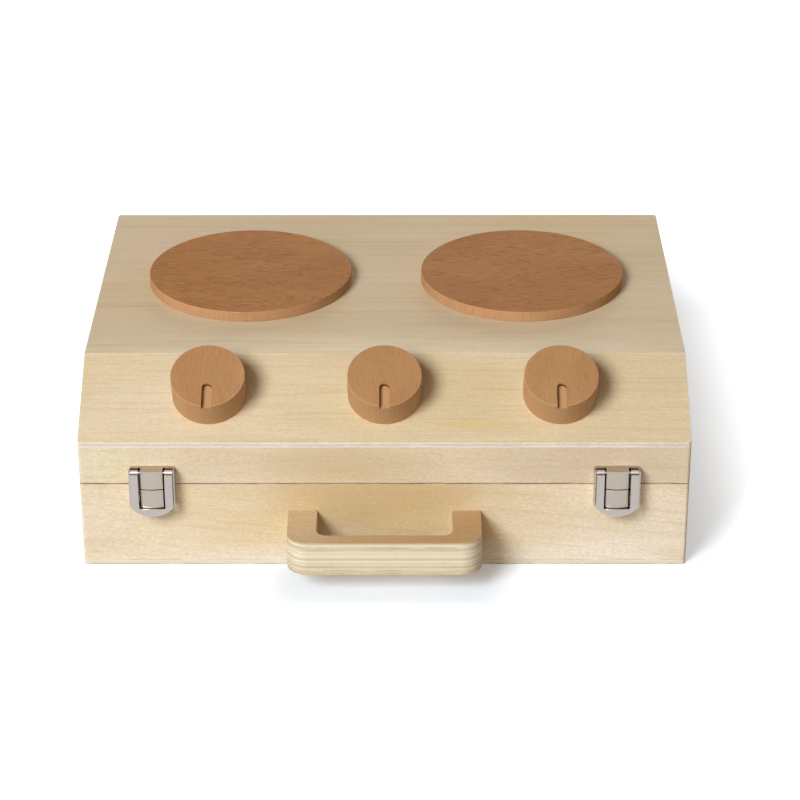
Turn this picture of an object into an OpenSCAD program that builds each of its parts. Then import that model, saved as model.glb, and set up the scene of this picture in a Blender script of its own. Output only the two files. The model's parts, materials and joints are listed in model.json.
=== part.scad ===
// Wooden toy oven in the form of a closing case: a hob with two burner discs and a sloping
// control panel is the lid, and a shallow tray with a carrying handle is the base.
// Units are millimetres. X runs across the front, +Y towards the back, +Z up.
// The origin is the centre of the case's underside.

/* [Case] */
// Width of the case
case_w = 350; // [300:5:420]
// Depth of the case, front face to back face
case_d = 261; // [200:1:320]
// Height of the base, floor to its rim
base_h = 53.3; // [46:0.1:80]
// Height of the lid, base rim to hob top
lid_h = 56.9; // [50:0.1:80]
// Thickness of the solid wood walls
wall_t = 9; // [7:0.5:14]
// Thickness of the plywood bottom, top and sloping panels
ply_t = 3; // [2:0.5:5]
// Radius of the case's upright corners
corner_r = 2; // [1:0.5:6]
// Hairline between the closed lid and the base
seam_gap = 0.3; // [0.2:0.1:0.8]

/* [Control slope] */
// Height of the lid's front above the base rim, up to the sloping panel's lower edge
lid_front_h = 26.9; // [20:0.1:34]
// Depth that the sloping panel takes from the front
slope_run = 54.5; // [50:0.1:70]

/* [Burners] */
// Radius of a burner disc
burner_r = 62; // [45:1:70]
// Thickness of a burner disc
burner_t = 6.3; // [3:0.1:12]
// Distance between the two burner centres
burner_pitch = 167.1; // [144:0.1:200]
// Distance of the burner centres from the case's back face
burner_back = 101.9; // [75:0.1:115]
// Easing of the burner discs' edges
burner_edge = 0.4; // [0.3:0.1:1.4]

/* [Knobs] */
// Radius of a knob
knob_r = 21.3; // [14:0.1:23]
// Thickness of a knob
knob_t = 18.3; // [12:0.1:24]
// Distance between neighbouring knobs
knob_pitch = 101; // [60:1:120]
// Distance of the knob centres up the slope from its lower edge
knob_up = 33.4; // [26:0.1:36]
// Easing of the knobs' rims
knob_edge = 0.3; // [0.2:0.1:1.2]
// Width of the pointer groove in a knob's face
groove_w = 5.8; // [3:0.2:9]
// Length of the pointer groove, measured in from the rim
groove_l = 16; // [10:0.5:18]
// Depth of the pointer groove
groove_depth = 2.9; // [1.5:0.1:5]
// Radius of the dowel that a knob turns on
spindle_r = 4; // [3:0.25:6]
// Depth of the dowel's blind hole in the knob
spindle_grip = 8; // [5:0.5:11]
// Radius of the washer behind the panel
washer_r = 8; // [7.5:0.25:10]
// Thickness of the washer behind the panel
washer_t = 1.2; // [0.8:0.1:2]

/* [Handle] */
// Overall width of the handle
handle_w = 111; // [90:1:140]
// How far the handle stands out from the base
handle_reach = 38.1; // [32:0.1:50]
// Thickness of the handle's plywood
handle_t = 20.8; // [14:0.2:24]
// Width of each leg of the handle
handle_leg = 16.7; // [12:0.1:20]
// Depth of the grip bar
handle_grip = 9.4; // [7:0.1:12]
// Height of the handle's underside above the floor
handle_z = 14.9; // [8:0.1:20]
// Outer corner radius of the handle
handle_outer_r = 12; // [5:0.5:14]
// Inner corner radius of the handle
handle_inner_r = 5.7; // [2:0.1:8]

/* [Latches] */
// Distance of each latch's centre from the case's side
latch_inset = 42; // [36:1:60]
// Width of a latch lever
lever_w = 24; // [21:0.2:28]
// Width of each arm of the lever
lever_arm = 4.45; // [4:0.05:6]
// Thickness of the lever's front plate
lever_t = 0.9; // [0.7:0.1:2.5]
// Height of the lever's arm ends above the seam
lever_top = 10; // [9:0.1:12]
// Height of the lever's crown below the seam
lever_drop = 16.8; // [15:0.1:22]
// Height below the seam where the lever's sides turn into the crown
lever_shoulder = 11.1; // [8:0.1:12]
// Distance from the wood to the back of the lever's plate
lever_standoff = 8.2; // [7:0.1:10]
// Height of the upper housing above the seam
head_h = 11.6; // [11.4:0.1:14]
// Height of the lower housing below the seam
catch_h = 11.8; // [10:0.1:12.6]
// Width of the raised middle of both housings
boss_w = 12.9; // [10.5:0.1:13.4]
// Bulge of the raised middle from its sides to its centre line
boss_bulge = 1; // [0.4:0.1:1.2]
// Thickness of the housings' sheet metal
sheet_t = 0.9; // [0.6:0.1:1.1]
// Distance of the lever's pin from the wood
pin_out = 5.4; // [5:0.1:5.8]
// Height of the lever's pin above the seam
pin_up = 10; // [9.8:0.1:10.2]
// Radius of the lever's pin
pin_r = 0.6; // [0.4:0.05:0.7]
// Radius of the rolled barrel on each lever arm
barrel_r = 1.6; // [1.4:0.1:1.8]

/* [Hinges] */
// Distance of each hinge's centre from the case's side
hinge_inset = 60; // [40:1:90]
// Width of a hinge
hinge_w = 30; // [24:1:40]
// Height of each hinge leaf from the pin
leaf_h = 12; // [10:0.5:16]
// Thickness of a hinge leaf
leaf_t = 1.2; // [0.8:0.1:1.6]
// Radius of a hinge knuckle
knuckle_r = 2.2; // [1.9:0.1:2.6]
// Width of the middle knuckle
knuckle_mid = 10; // [7:0.5:14]
// Radius of a hinge pin
hinge_pin_r = 1; // [0.7:0.1:1.2]
// Distance between the two screws of a leaf
leaf_screw_pitch = 20; // [14:0.5:22]

/* [Screws] */
// Radius of the small wood screws in hinges and latches
small_shank_r = 1.1; // [0.8:0.1:1.3]
// Length of the small wood screws under the head
small_shank_l = 7; // [5:0.5:9]
// Radius of the small screws' heads
small_head_r = 1.9; // [1.5:0.1:2.1]
// Height of the small screws' heads
small_head_h = 0.9; // [0.7:0.1:1.2]
// Radius of the handle and knob screws
large_shank_r = 2; // [1.5:0.1:2.3]
// Radius of the handle and knob screws' heads
large_head_r = 3.6; // [3:0.1:4.2]
// Height of the handle and knob screws' heads
large_head_h = 2.2; // [1.6:0.1:2.6]
// Length of a handle screw inside the leg
handle_screw_grip = 20; // [12:1:24]

/* [Clearances] */
// Radial clearance of turning fits
turn_fit = 0.05; // [0.02:0.01:0.1]
// Radial clearance round screws, dowels and fixed pins
hole_fit = 0.05; // [0.03:0.01:0.1]
// Gap between faces that pass each other
face_gap = 0.3; // [0.2:0.05:0.5]
// Gap between a latch lever and the parts beside it
side_gap = 0.2; // [0.15:0.05:0.4]

/* [Hidden] */
$fn = 96;

front_y = -case_d / 2;
back_y = case_d / 2;
case_h = base_h + lid_h;
inner_d = case_d - 2 * wall_t;
lid_z = base_h + seam_gap;
seam_z = base_h + seam_gap / 2;

// The sloping panel's outer face runs from its lower edge at the front to the crease.
lip_z = base_h + lid_front_h;
slope_rise = case_h - lip_z;
slope_a = atan2(slope_rise, slope_run);
crease_y = front_y + slope_run;
// The panels' undersides, ply_t below, meet on the mitre line.
under_lip_z = lip_z - ply_t / cos(slope_a);
under_crease_y = crease_y + ply_t * tan(slope_a / 2);
under_top_z = case_h - ply_t;

burner_y = back_y - burner_back;

// Stations along a knob's axis, counted outwards from the panel's face.
knob_z = face_gap;
spindle_in = -ply_t - face_gap;
spindle_l = knob_z + spindle_grip - spindle_in;
knob_screw_l = spindle_l - 2;
// Centre of the groove's round end; the groove runs from there down the slope to the rim.
groove_y = groove_l - knob_r - groove_w / 2;

handle_gap_w = handle_w - 2 * handle_leg;
handle_gap_d = handle_reach - handle_grip;
handle_screw_x = (handle_w - handle_leg) / 2;
handle_screw_z = handle_z + handle_t / 2;

latch_pitch = case_w - 2 * latch_inset;
housing_w = lever_w + 2 * side_gap + 2 * sheet_t;
housing_r = 1.5;
flange_out = 2.5;
cheek_out = pin_out + pin_r + hole_fit + 0.6;
window_w = lever_w - 2 * lever_arm;
// The lever's bar passes in front of the lower boss when the lid opens.
boss_out = lever_standoff - face_gap;
boss_stop = 0.15;
foot_out = boss_out - 2.9;
foot_drop = lever_drop - 2.2;
foot_w = window_w + 2;
boss_r = (pow(boss_w / 2, 2) + pow(boss_bulge, 2)) / (2 * boss_bulge);
lever_window = catch_h + face_gap;
crown_sag = lever_drop - lever_shoulder;
crown_r = (pow(lever_w / 2, 2) + pow(crown_sag, 2)) / (2 * crown_sag);
lever_return = 2.9;
neck_top = pin_up - barrel_r / 2;
neck_bottom = neck_top - 2.1;
latch_screw_x = (boss_w + housing_w) / 4;
head_screw_up = 4.6;
catch_screw_up = -6.2;

hinge_pitch = case_w - 2 * hinge_inset;
hinge_y = back_y + knuckle_r + face_gap;
knuckle_clear = knuckle_r + 0.4;
leaf_screw_up = (knuckle_clear + leaf_h) / 2;
small_pilot_r = small_shank_r + hole_fit;
large_pilot_r = large_shank_r + hole_fit;

// ---- placing ----

module at_slope(x) {
    translate([x, front_y, lip_z]) rotate([slope_a, 0, 0]) translate([0, knob_up, 0]) children();
}

// On the front face: X across, Y up from the seam, Z outwards from the wood.
module at_latch(side) {
    translate([side * latch_pitch / 2, front_y, seam_z]) rotate([90, 0, 0]) children();
}

// On the back face: X across, Y up from the hinge pin, Z outwards from the wood.
module at_hinge(side) {
    translate([side * hinge_pitch / 2, back_y, seam_z]) rotate([90, 0, 180]) children();
}

// ---- shared shapes ----

// Rectangle with round corners, centred on X and standing on Y = 0.
module round_rect(w, d, r) {
    translate([-w / 2, r]) square([w, d - 2 * r]);
    translate([-w / 2 + r, 0]) square([w - 2 * r, d]);
    for (x = [-w / 2 + r, w / 2 - r], y = [r, d - r]) translate([x, y]) circle(r);
}

// Rectangle with only its far corners round.
module arch_rect(w, d, r) {
    translate([-w / 2, 0]) square([w, d - r]);
    translate([-w / 2 + r, 0]) square([w - 2 * r, d]);
    for (x = [-w / 2 + r, w / 2 - r]) translate([x, d - r]) circle(r);
}

// The case's outline in plan, from one height to another.
module case_block(z0, z1) {
    translate([0, front_y, z0]) linear_extrude(z1 - z0) round_rect(case_w, case_d, corner_r);
}

// A profile in the YZ plane, carried from one X to another.
module cross_section(x0, x1, points) {
    translate([x0, 0, 0]) rotate([90, 0, 90]) linear_extrude(x1 - x0) polygon(points);
}

// A turned disc with eased rims.
module eased_disc(r, t, edge) {
    rotate_extrude() {
        square([r - edge, t]);
        translate([0, edge]) square([r, t - 2 * edge]);
        for (z = [edge, t - edge]) translate([r - edge, z]) circle(edge, $fn = 24);
    }
}

// Pan head screw with a cross recess: head outwards from Z = 0, shank along -Z.
module pan_screw(shank_r, shank_l, head_r, head_h) {
    difference() {
        union() {
            translate([0, 0, -shank_l]) cylinder(h = shank_l + head_h / 2, r = shank_r);
            cylinder(h = head_h * 0.55, r = head_r);
            translate([0, 0, head_h * 0.55]) cylinder(h = head_h * 0.45, r1 = head_r, r2 = head_r * 0.72);
        }
        for (a = [45, 135]) rotate(a)
            translate([-head_r * 0.55, -head_r * 0.11, head_h * 0.5]) cube([head_r * 1.1, head_r * 0.22, head_h]);
    }
}

module small_screw() {
    pan_screw(small_shank_r, small_shank_l, small_head_r, small_head_h);
}

module large_pilot(depth) {
    translate([0, 0, -depth]) cylinder(h = depth + 1, r = large_pilot_r);
}

module small_pilot() {
    translate([0, 0, -small_shank_l - 0.5]) cylinder(h = small_shank_l + 3, r = small_pilot_r);
}

// The screw places of one latch housing.
module latch_screw_places(up) {
    for (side = [-1, 1], s = [-1, 1])
        at_latch(side) translate([s * latch_screw_x, up, sheet_t]) children();
}

// The screw places of one leaf of each hinge; way is 1 for the lid and -1 for the base.
module hinge_screw_places(way) {
    for (side = [-1, 1], s = [-1, 1])
        at_hinge(side) translate([s * leaf_screw_pitch / 2, way * leaf_screw_up, leaf_t]) children();
}

module handle_screw_places() {
    for (side = [-1, 1])
        translate([side * handle_screw_x, front_y + wall_t, handle_screw_z]) rotate([-90, 0, 0]) children();
}

// ---- base ----

module base_bottom() {
    color("burlywood") case_block(0, ply_t);
}

module base_front() {
    color("wheat") difference() {
        intersection() {
            case_block(ply_t, base_h);
            translate([-case_w / 2, front_y, ply_t]) cube([case_w, wall_t, base_h - ply_t]);
        }
        latch_screw_places(catch_screw_up) small_pilot();
        handle_screw_places() large_pilot(wall_t + 1);
    }
}

module base_back() {
    color("wheat") difference() {
        intersection() {
            case_block(ply_t, base_h);
            translate([-case_w / 2, back_y - wall_t, ply_t]) cube([case_w, wall_t, base_h - ply_t]);
        }
        hinge_screw_places(-1) small_pilot();
    }
}

module base_side(x0) {
    color("wheat") translate([x0, front_y + wall_t, ply_t]) cube([wall_t, inner_d, base_h - ply_t]);
}

// The handle is cut from thick plywood as a U whose legs butt on the base's front.
module handle() {
    color("peru") difference() {
        translate([0, front_y, handle_z]) mirror([0, 1, 0]) linear_extrude(handle_t) difference() {
            arch_rect(handle_w, handle_reach, handle_outer_r);
            translate([0, -1]) arch_rect(handle_gap_w, handle_gap_d + 1, handle_inner_r);
        }
        handle_screw_places() large_pilot(wall_t + handle_screw_grip + 0.5);
    }
}

module handle_screws() {
    color("silver") handle_screw_places()
        pan_screw(large_shank_r, wall_t + handle_screw_grip, large_head_r, large_head_h);
}

// ---- lid ----

module lid_front() {
    back = front_y + wall_t;
    color("wheat") difference() {
        intersection() {
            case_block(lid_z, case_h);
            cross_section(-case_w / 2, case_w / 2, [[front_y, lid_z], [back, lid_z],
                [back, under_lip_z + wall_t * tan(slope_a)], [front_y, under_lip_z]]);
        }
        latch_screw_places(head_screw_up) small_pilot();
    }
}

module lid_back() {
    color("wheat") difference() {
        intersection() {
            case_block(lid_z, under_top_z);
            translate([-case_w / 2, back_y - wall_t, lid_z]) cube([case_w, wall_t, case_h]);
        }
        hinge_screw_places(1) small_pilot();
    }
}

module lid_side(x0) {
    front = front_y + wall_t;
    color("wheat") cross_section(x0, x0 + wall_t, [[front, lid_z], [back_y - wall_t, lid_z],
        [back_y - wall_t, under_top_z], [under_crease_y, under_top_z],
        [front, under_lip_z + wall_t * tan(slope_a)]]);
}

module lid_top() {
    color("burlywood") intersection() {
        case_block(under_top_z, case_h);
        cross_section(-case_w / 2, case_w / 2, [[under_crease_y, under_top_z], [back_y, under_top_z],
            [back_y, case_h], [crease_y, case_h]]);
    }
}

module lid_slope() {
    color("wheat") difference() {
        intersection() {
            case_block(lid_z, case_h);
            cross_section(-case_w / 2, case_w / 2, [[front_y, under_lip_z], [under_crease_y, under_top_z],
                [crease_y, case_h], [front_y, lip_z]]);
        }
        for (i = [-1, 0, 1]) at_slope(i * knob_pitch)
            translate([0, 0, -ply_t - 1]) cylinder(h = ply_t + 2, r = spindle_r + turn_fit);
    }
}

module burner(side) {
    color("sienna") translate([side * burner_pitch / 2, burner_y, case_h])
        eased_disc(burner_r, burner_t, burner_edge);
}

// ---- knobs ----

module knob(i) {
    color("sienna") at_slope(i * knob_pitch) translate([0, 0, knob_z]) difference() {
        eased_disc(knob_r, knob_t, knob_edge);
        translate([0, groove_y, knob_t - groove_depth]) cylinder(h = groove_depth + 1, r = groove_w / 2);
        translate([-groove_w / 2, -knob_r - 1, knob_t - groove_depth])
            cube([groove_w, knob_r + 1 + groove_y, groove_depth + 1]);
        translate([0, 0, -1]) cylinder(h = spindle_grip + 1, r = spindle_r + hole_fit);
    }
}

module spindle(i) {
    color("tan") at_slope(i * knob_pitch) translate([0, 0, spindle_in]) difference() {
        cylinder(h = spindle_l, r = spindle_r);
        translate([0, 0, -1]) cylinder(h = knob_screw_l + 1.5, r = large_pilot_r);
    }
}

module washer(i) {
    color("silver") at_slope(i * knob_pitch) translate([0, 0, spindle_in - washer_t]) difference() {
        cylinder(h = washer_t, r = washer_r);
        translate([0, 0, -1]) cylinder(h = washer_t + 2, r = large_pilot_r);
    }
}

module knob_screw(i) {
    color("silver") at_slope(i * knob_pitch) translate([0, 0, spindle_in - washer_t]) rotate([180, 0, 0])
        pan_screw(large_shank_r, knob_screw_l + washer_t, large_head_r, large_head_h);
}

// ---- latches ----

// Raised middle of a housing: a box whose front bulges about the vertical.
module boss(up0, up1, out) {
    intersection() {
        translate([-boss_w / 2, up0, 0]) cube([boss_w, up1 - up0, out]);
        translate([0, up0 - 1, out - boss_r]) rotate([-90, 0, 0]) cylinder(h = up1 - up0 + 2, r = boss_r, $fn = 200);
    }
}

module boss_hollow(up0, up1, out) {
    translate([-boss_w / 2 + sheet_t, up0, sheet_t])
        cube([boss_w - 2 * sheet_t, up1 - up0, out - boss_bulge - 2 * sheet_t]);
}

// Upper housing on the lid: back plate, top flange, cheeks that hold the lever's pins, raised middle.
module latch_head(side) {
    h = head_h - seam_gap / 2;
    inner_w = housing_w - 2 * sheet_t;
    color("silver") at_latch(side) difference() {
        translate([0, seam_gap / 2, 0]) union() {
            linear_extrude(sheet_t) arch_rect(housing_w, h, housing_r);
            difference() {
                linear_extrude(cheek_out) arch_rect(housing_w, h, housing_r);
                translate([0, -1, sheet_t]) linear_extrude(cheek_out)
                    arch_rect(inner_w, h - sheet_t + 1, housing_r - sheet_t / 2);
                translate([-inner_w / 2, h - housing_r - 1, flange_out]) cube([inner_w, housing_r + 2, cheek_out]);
            }
            boss(boss_stop, h, boss_out);
        }
        boss_hollow(-1, head_h - sheet_t, boss_out);
        for (s = [-1, 1]) {
            translate([s * (boss_w / 2 - sheet_t - 0.2), pin_up, pin_out]) rotate([0, s * 90, 0])
                cylinder(h = housing_w, r = pin_r + hole_fit);
            translate([s * latch_screw_x, head_screw_up, -1]) cylinder(h = sheet_t + 2, r = small_pilot_r);
        }
    }
}

// Lower housing on the base: back plate, cheeks beside the lever, raised middle, and a foot, wider
// than the lever's window, that runs on behind the lever's bar.
module latch_catch(side) {
    h = catch_h - seam_gap / 2;
    inner_w = housing_w - 2 * sheet_t;
    color("silver") at_latch(side) difference() {
        translate([0, -seam_gap / 2, 0]) union() {
            mirror([0, 1, 0]) linear_extrude(sheet_t) arch_rect(housing_w, h, housing_r);
            difference() {
                mirror([0, 1, 0]) linear_extrude(cheek_out) arch_rect(housing_w, h, housing_r);
                translate([-inner_w / 2, -h - 1, sheet_t]) cube([inner_w, h + 2, cheek_out]);
            }
            boss(-h, -boss_stop, boss_out);
            translate([-foot_w / 2, -foot_drop, 0])
                cube([foot_w, foot_drop - h + sheet_t / 2, foot_out]);
        }
        boss_hollow(-catch_h + sheet_t, 1, boss_out);
        for (s = [-1, 1])
            translate([s * latch_screw_x, catch_screw_up, -1]) cylinder(h = sheet_t + 2, r = small_pilot_r);
    }
}

// Outline of the lever's front plate: two arms, open at the top, joined by a rounded crown.
module lever_outline() {
    difference() {
        union() {
            translate([-lever_w / 2, -lever_shoulder]) square([lever_w, lever_shoulder + lever_top]);
            intersection() {
                translate([0, crown_r - lever_drop]) circle(crown_r, $fn = 200);
                translate([-lever_w / 2, -lever_drop - 1]) square([lever_w, crown_sag + 1]);
            }
        }
        mirror([0, 1, 0]) translate([0, -lever_top - 1])
            arch_rect(window_w, lever_top + lever_window + 1, housing_r - sheet_t / 2);
    }
}

// Lever: front plate, a return along each outer edge, and a rolled barrel behind each arm's end.
module latch_lever(side) {
    color("silver") at_latch(side) difference() {
        union() {
            translate([0, 0, lever_standoff]) linear_extrude(lever_t) lever_outline();
            for (s = [0, 1]) mirror([s, 0, 0]) {
                translate([lever_w / 2 - sheet_t, -lever_shoulder, lever_return])
                    cube([sheet_t, lever_shoulder + neck_top, lever_standoff - lever_return]);
                translate([window_w / 2, neck_bottom, pin_out - barrel_r / 2])
                    cube([lever_arm, neck_top - neck_bottom, lever_standoff - pin_out + barrel_r / 2]);
                translate([window_w / 2, pin_up, pin_out]) rotate([0, 90, 0]) cylinder(h = lever_arm, r = barrel_r);
            }
        }
        translate([-housing_w / 2, pin_up, pin_out]) rotate([0, 90, 0])
            cylinder(h = housing_w, r = pin_r + turn_fit);
    }
}

module latch_screws(up) {
    color("silver") latch_screw_places(up) small_screw();
}

module latch_pins(side) {
    start = boss_w / 2 - sheet_t;
    color("silver") at_latch(side) for (s = [-1, 1])
        translate([s * start, pin_up, pin_out]) rotate([0, s * 90, 0]) cylinder(h = housing_w / 2 - start, r = pin_r);
}

// ---- hinges ----

// One leaf of each hinge; way is 1 for the lid's leaf and -1 for the base's.
module hinge_leaf(way) {
    mid = knuckle_mid / 2;
    own = way > 0 ? [[-mid, mid]] : [[-hinge_w / 2, -mid - face_gap], [mid + face_gap, hinge_w / 2]];
    out = knuckle_r + face_gap;
    flip = way > 0 ? 0 : 1;
    color("silver") for (side = [-1, 1]) at_hinge(side) difference() {
        union() {
            mirror([0, flip, 0]) translate([0, knuckle_clear, 0]) linear_extrude(leaf_t)
                arch_rect(hinge_w, leaf_h - knuckle_clear, housing_r);
            for (k = own) {
                mirror([0, flip, 0]) translate([k[0], 0.5, 0]) cube([k[1] - k[0], knuckle_clear, leaf_t]);
                translate([k[0], 0, out]) rotate([0, 90, 0]) cylinder(h = k[1] - k[0], r = knuckle_r);
            }
        }
        translate([-hinge_w, 0, out]) rotate([0, 90, 0]) cylinder(h = 2 * hinge_w, r = hinge_pin_r + turn_fit);
        for (s = [-1, 1]) translate([s * leaf_screw_pitch / 2, way * leaf_screw_up, -1])
            cylinder(h = leaf_t + 2, r = small_pilot_r);
    }
}

module hinge_screws(way) {
    color("silver") hinge_screw_places(way) small_screw();
}

module hinge_pins() {
    color("silver") for (side = [-1, 1]) at_hinge(side) translate([-hinge_w / 2, 0, knuckle_r + face_gap]) rotate([0, 90, 0])
        cylinder(h = hinge_w, r = hinge_pin_r);
}

// ---- the model ----

base_bottom();
base_front();
base_back();
base_side(-case_w / 2);  // base_left
base_side(case_w / 2 - wall_t);  // base_right
handle();
handle_screws();
lid_front();
lid_back();
lid_side(-case_w / 2);  // lid_left
lid_side(case_w / 2 - wall_t);  // lid_right
lid_top();
lid_slope();
burner(-1);  // burner_left
burner(1);  // burner_right
knob(-1);  // knob_left
knob(0);  // knob_middle
knob(1);  // knob_right
spindle(-1);  // spindle_left
spindle(0);  // spindle_middle
spindle(1);  // spindle_right
washer(-1);  // washer_left
washer(0);  // washer_middle
washer(1);  // washer_right
knob_screw(-1);  // knob_screw_left
knob_screw(0);  // knob_screw_middle
knob_screw(1);  // knob_screw_right
latch_head(-1);  // latch_head_left
latch_head(1);  // latch_head_right
latch_catch(-1);  // latch_catch_left
latch_catch(1);  // latch_catch_right
latch_lever(-1);  // latch_lever_left
latch_lever(1);  // latch_lever_right
latch_pins(-1);  // latch_pins_left
latch_pins(1);  // latch_pins_right
latch_screws(head_screw_up);  // latch_screws_lid
latch_screws(catch_screw_up);  // latch_screws_base
hinge_leaf(-1);  // hinge_leaves_base
hinge_leaf(1);  // hinge_leaves_lid
hinge_pins();
hinge_screws(-1);  // hinge_screws_base
hinge_screws(1);  // hinge_screws_lid
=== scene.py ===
"""Looks of a wooden toy oven that closes like a small case.

The lid is a hob top with two beech burner discs and a sloping panel with three beech knobs. The base
is a tray with a plywood carrying handle. Two box latches close the front, two butt hinges join the
back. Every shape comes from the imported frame; this file gives the pieces their eased edges and finishes
and sets up the studio. Metres; X across the front, +Y towards the back, +Z up.
"""

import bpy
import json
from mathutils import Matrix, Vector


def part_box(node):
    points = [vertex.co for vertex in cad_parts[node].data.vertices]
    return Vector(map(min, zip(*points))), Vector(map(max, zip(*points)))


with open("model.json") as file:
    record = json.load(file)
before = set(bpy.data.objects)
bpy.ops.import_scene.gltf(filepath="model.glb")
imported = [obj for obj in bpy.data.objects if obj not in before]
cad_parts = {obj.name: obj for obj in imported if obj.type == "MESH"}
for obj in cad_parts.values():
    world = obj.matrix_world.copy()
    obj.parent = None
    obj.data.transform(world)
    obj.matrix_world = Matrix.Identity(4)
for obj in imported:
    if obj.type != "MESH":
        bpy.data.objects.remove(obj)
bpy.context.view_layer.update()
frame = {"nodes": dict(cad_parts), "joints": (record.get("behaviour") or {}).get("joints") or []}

import json
import logging
import math
from abc import ABC, abstractmethod
from dataclasses import dataclass
from enum import Enum
from types import SimpleNamespace

import bpy
from mathutils import Matrix, Vector

log = logging.getLogger("toy_oven")

MM = 0.001
Triple = tuple[float, float, float]
Span = tuple[float, float]
Link = bpy.types.NodeSocket
Coats = tuple[Link, Link, Link]

# What goes to a piece's seed, so that each effect on it has a pattern of its own.
STREAK_SEED = 3.7
LAYER_SEED = 9.1
JOINT_SEED = 4.0
GAP_SEED = 2.0
PORE_SEED = 2.0
PATCH_SEED = 5.0
LINE_SEED = 6.0

# How edges are eased: what is welded and flattened first, what counts as an edge, how finely it is cut.
WELD_REACH = 0.001 * MM
FLAT_ANGLE = math.radians(0.2)
EDGE_ANGLE = math.radians(28)
EDGE_STEPS = 3
SMOOTH_WEIGHT = 60


def ink(red: float, green: float, blue: float) -> tuple[float, float, float, float]:
    """A colour as it looks on screen, 0 to 255, as the linear colour that a shader takes.

    Args:
        red: Red on screen.
        green: Green on screen.
        blue: Blue on screen.

    Returns:
        Linear red, green, blue and an alpha of 1.
    """
    shares = [value / 255 for value in (red, green, blue)]
    linear = [s / 12.92 if s <= 0.04045 else ((s + 0.055) / 1.055) ** 2.4 for s in shares]
    return (linear[0], linear[1], linear[2], 1.0)


# ---- how a piece lies ----


@dataclass(frozen=True)
class Lay:
    """Which way a piece's grain runs and which way it is thick, in the case's frame."""

    along: Triple
    thick: Triple

    def matrix(self) -> Matrix:
        """Turns the case's frame so that the grain runs along X and the thickness along Z."""
        along, thick = Vector(self.along).normalized(), Vector(self.thick).normalized()
        return Matrix((along, thick.cross(along), thick))


def panel_normal() -> Vector:
    """The outward direction of the sloping panel, which is the knobs' own axis."""
    joint = next(j for j in frame["joints"] if j["name"] == "middle_knob_turn")
    return Vector(joint["axis"]).normalized()


OUT = panel_normal()


class Board(Enum):
    """The ways in which the pieces are cut and set."""

    LEVEL = Lay((1, 0, 0), (0, 0, 1))
    FRONT = Lay((1, 0, 0), (0, -1, 0))
    SIDE = Lay((0, 1, 0), (1, 0, 0))
    SLOPE = Lay((1, 0, 0), tuple(OUT))
    UP_SLOPE = Lay((0, OUT.z, -OUT.y), tuple(OUT))


@dataclass(frozen=True)
class Piece:
    """One piece to be finished: where it is, how it lies, and which pattern it gets."""

    node: str
    lay: Board
    seed: float

    def corners(self) -> tuple[Vector, Vector]:
        """Lowest and highest corner in the piece's own lie, grain along X and thickness along Z."""
        turn = self.lay.value.matrix()
        points = [turn @ v.co for v in frame["nodes"][self.node].data.vertices]
        low = Vector(min(p[i] for p in points) for i in range(3))
        return low, Vector(max(p[i] for p in points) for i in range(3))


# ---- shader sheets ----


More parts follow.
